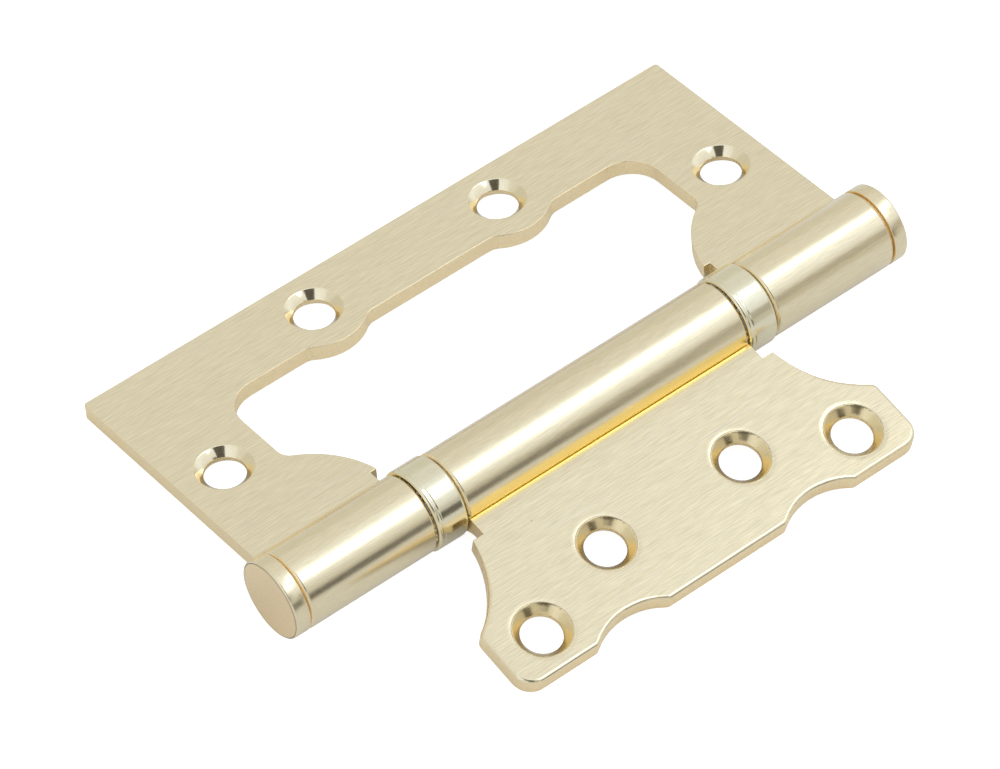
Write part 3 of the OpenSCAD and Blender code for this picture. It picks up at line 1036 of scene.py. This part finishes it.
def room_world():
    """A white room: plain white to the camera, and toned by height to the metal."""
    world = bpy.data.worlds.new("white_room")
    world.use_nodes = True
    world.node_tree.nodes.clear()
    tree = Tree(world.node_tree)
    way = tree.add("ShaderNodeSeparateXYZ",
                   Vector=tree.add("ShaderNodeTexCoord").outputs["Generated"]).outputs
    angle = tree.math("ARCTAN2", way["Z"], tree.math("MULTIPLY", way["Y"], -1.0))
    place = tree.add("ShaderNodeMapRange", Value=angle, From_Min=-math.pi, From_Max=math.pi)
    tone = ramp(tree.add("ShaderNodeValToRGB", Fac=place.outputs[0]),
                [((degrees + 180) / 360, shade(cooled(value), 1 / ROOM_TOP))
                 for degrees, value in ROOM])
    strength = ROOM_TOP * studio().surround
    brighter = (studio().inner_glow - 1) * strength
    room = tree.add("ShaderNodeBackground", Color=tone, Strength=tree.math(
        "MULTIPLY_ADD", many_bounces(tree, ROOM_BOUNCES), brighter, strength))
    white = tree.add("ShaderNodeBackground", Color=(1, 1, 1, 1), Strength=1.0)
    ray = tree.add("ShaderNodeLightPath").outputs
    mix = tree.add("ShaderNodeMixShader", in_0=ray["Is Camera Ray"], in_1=room.outputs[0],
                   in_2=white.outputs[0])
    tree.add("ShaderNodeOutputWorld", Surface=mix.outputs[0])
    world.cycles.sampling_method = "NONE"
    bpy.context.scene.world = world


# The strip softboxes stand end to end between these points, measured from the middle of
# the barrel, and are this wide
SOFTBOX_LINE = ((0.09, -0.27, 0.4), (0.186, -0.06, 0.4), (0.36, 0.02, 0.4))
SOFTBOX_W = 0.09


def softbox(name, start, end, width):
    """A flat strip lamp between two points, turned to face the barrel."""
    along = end - start
    centre = (start + end) / 2
    light = bpy.data.lights.new(name, "AREA")
    light.shape = "RECTANGLE"
    light.size, light.size_y = width, along.length
    light.energy = studio().softbox * math.pi * width * along.length
    light.color = studio().softbox_tint
    lamp = bpy.data.objects.new(name, light)
    across = along.cross(centre - PIN).normalized()
    along = along.normalized()
    lamp.matrix_world = Matrix.Translation(centre) @ Matrix(
        (across, along, across.cross(along))).transposed().to_4x4()
    bpy.context.scene.collection.objects.link(lamp)


# Each card that the metal mirrors: its turn to the right of the camera and its rise above
# the floor, both in degrees, and its width and height. The camera's own card gives the
# dark spot in the countersinks.
CARD_DISTANCE = 0.45
DARK_CARDS = (("low_card", 52, 10, (0.20, 0.14)),
              ("front_card", 31, 37, (0.24, 0.11)),
              ("camera_card", 5, 48, (0.24, 0.41)))
GREY_CARD = ("grey_card", 75, 20, (0.22, 0.12))
DARK = 0.12
GREY = 0.5


def mirrored_card(name, turn, rise, size, material):
    """A card that only the metal sees, square to the hinge."""
    turn, rise = math.radians(turn), math.radians(rise)
    way = (RIGHT * math.sin(turn) - AWAY * math.cos(turn)) * math.cos(rise)
    way = way + Vector((0, 0, math.sin(rise)))
    side = Vector((0, 0, 1)).cross(way).normalized() * size[0] / 2
    top = way.cross(side).normalized() * size[1] / 2
    middle = PIN + way * CARD_DISTANCE
    card = quad(name, [middle - side - top, middle + side - top, middle + side + top,
                       middle - side + top], material)
    card.visible_camera = False
    card.visible_shadow = False
    card.visible_diffuse = False


class HINGE_OT_studio(Operator):
    """Set up the floor, the white room, the softboxes, the cards and the camera"""

    bl_idname = "hinge.studio"
    bl_label = "Studio"

    def execute(self, context):
        half = FLOOR_REACH
        quad("floor", [(-half, -half, 0), (half, -half, 0), (half, half, 0), (-half, half, 0)],
             floor_material())
        room_world()
        near_end, elbow, far_end = (PIN + Vector(place) for place in SOFTBOX_LINE)
        softbox("near_softbox", near_end, elbow, SOFTBOX_W)
        softbox("far_softbox", elbow, far_end, SOFTBOX_W)
        dark = card_material("dark_card", DARK)
        for card in DARK_CARDS:
            mirrored_card(*card, dark)
        mirrored_card(*GREY_CARD, card_material("grey_card", GREY))
        context.scene.view_settings.view_transform = "Standard"
        place_camera()
        return {"FINISHED"}


class HINGE_PT_panel(Panel):
    """Lists the hinge's pieces and the studio"""

    bl_idname = "HINGE_PT_panel"
    bl_label = "Butterfly Hinge"
    bl_space_type = "VIEW_3D"
    bl_region_type = "UI"
    bl_category = "Hinge"

    def draw(self, context):
        column = self.layout.column()
        for group in (context.scene.hinge_sizes, context.scene.hinge_finish,
                      context.scene.hinge_studio):
            for name in group.__annotations__:
                column.prop(group, name)
        for operator in OPERATORS:
            column.operator(operator.bl_idname)


GROUPS = (HingeSizes, HingeFinish, HingeStudio)
OPERATORS = (HINGE_OT_larger_leaf, HINGE_OT_smaller_leaf, HINGE_OT_end_caps,
             HINGE_OT_bearing_shells, HINGE_OT_steel_parts, HINGE_OT_studio)


def register():
    """Makes the hinge's settings, operators and panel known to Blender."""
    for group in (*GROUPS, *OPERATORS, HINGE_PT_panel):
        bpy.utils.register_class(group)
    bpy.types.Scene.hinge_sizes = PointerProperty(type=HingeSizes)
    bpy.types.Scene.hinge_finish = PointerProperty(type=HingeFinish)
    bpy.types.Scene.hinge_studio = PointerProperty(type=HingeStudio)


def unregister():
    """Takes them away again."""
    for name in ("hinge_sizes", "hinge_finish", "hinge_studio"):
        delattr(bpy.types.Scene, name)
    for group in reversed((*GROUPS, *OPERATORS, HINGE_PT_panel)):
        bpy.utils.unregister_class(group)


def main():
    """Dresses the whole hinge."""
    register()
    bpy.ops.hinge.larger_leaf()
    bpy.ops.hinge.smaller_leaf()
    bpy.ops.hinge.end_caps()
    bpy.ops.hinge.bearing_shells()
    bpy.ops.hinge.steel_parts()
    bpy.ops.hinge.studio()


if __name__ == "__main__":
    main()
